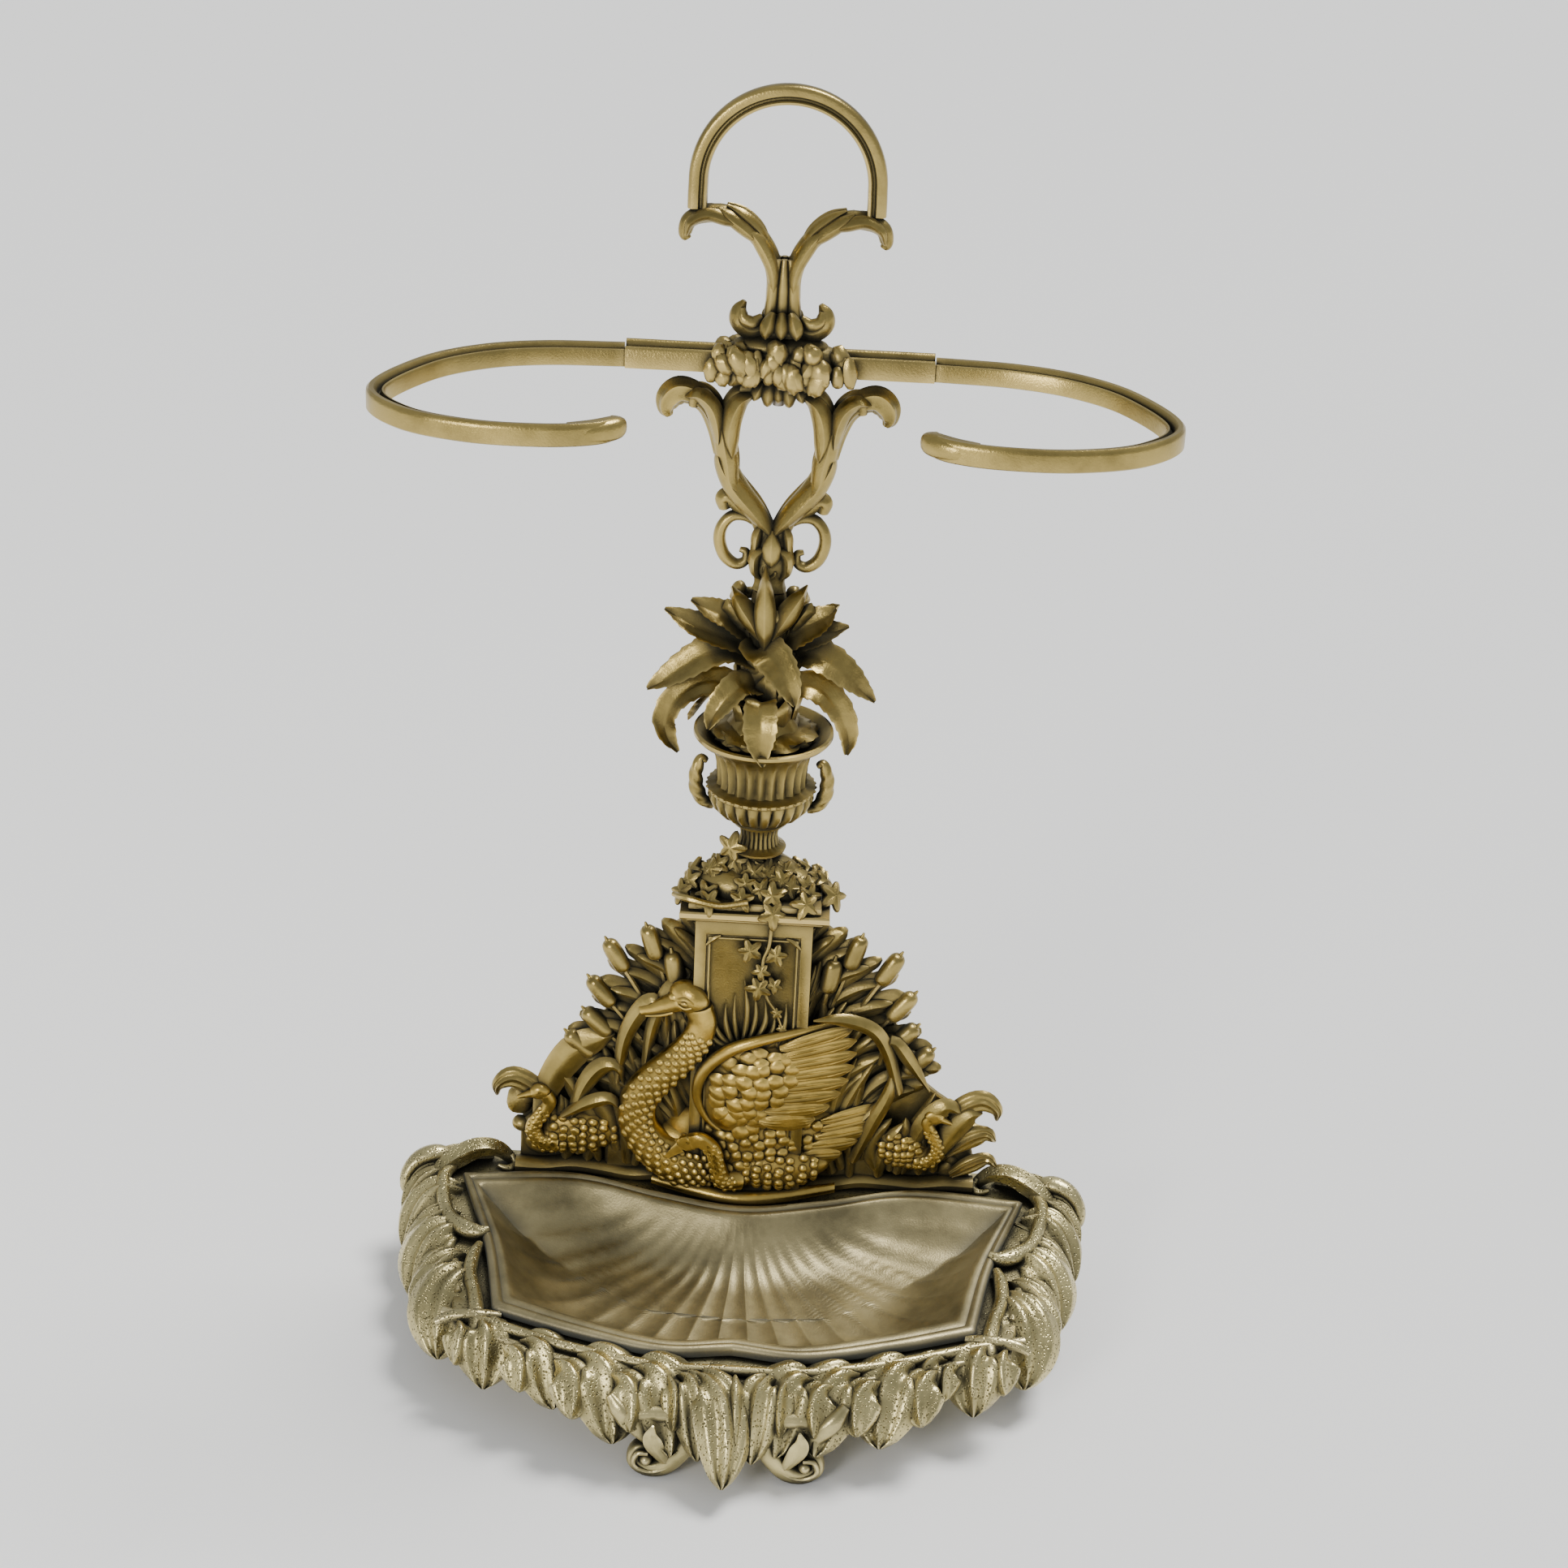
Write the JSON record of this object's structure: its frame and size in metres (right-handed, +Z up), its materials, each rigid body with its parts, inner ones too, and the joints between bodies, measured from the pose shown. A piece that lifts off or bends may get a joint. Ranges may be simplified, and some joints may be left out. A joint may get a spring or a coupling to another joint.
{
  "type": "umbrella stand",
  "caption": "Free-standing cast brass umbrella stand with a leaf-bordered base, lift-out drip tray, relief back, urn and plant stem, open two-armed hoop and carrying handle.",
  "frame": {"origin": "centre of the object's box at floor level, under the four feet", "axes": "+Z up along the stem, +Y to the back of the stand, X from left to right seen from the front"},
  "size_m": [0.404, 0.288, 0.7],
  "materials": {
    "aged_brass": "aged cast brass with dark patina in the recesses",
    "relief_brass": "aged cast brass, golden on the high relief",
    "tray_brass": "stained brass with a blue-brown patina",
    "fastener_steel": "dull steel"
  },
  "bodies": {
    "stand": {"base_frame": "aged_brass", "front_left_foot": "aged_brass", "front_right_foot": "aged_brass", "rear_left_foot": "aged_brass", "rear_right_foot": "aged_brass", "foot_screws": "fastener_steel", "back_casting": "relief_brass", "panel_screws": "fastener_steel", "tie_rod": "fastener_steel", "rod_nut": "fastener_steel", "rod_washer": "fastener_steel", "urn": "aged_brass", "agave_plant": "aged_brass", "lyre_stem": "aged_brass", "top_stud": "fastener_steel", "hoop_bracket": "aged_brass", "left_hoop_rail": "aged_brass", "right_hoop_rail": "aged_brass", "rail_pins": "fastener_steel", "carrying_handle": "aged_brass"},
    "drip_tray": {"drip_tray": "tray_brass"}
  },
  "joints": [
    {"name": "tray_lift", "type": "slide", "parent": "stand", "child": "drip_tray", "axis": [0, 0, 1], "range_m": [0, 0.12]}
  ]
}
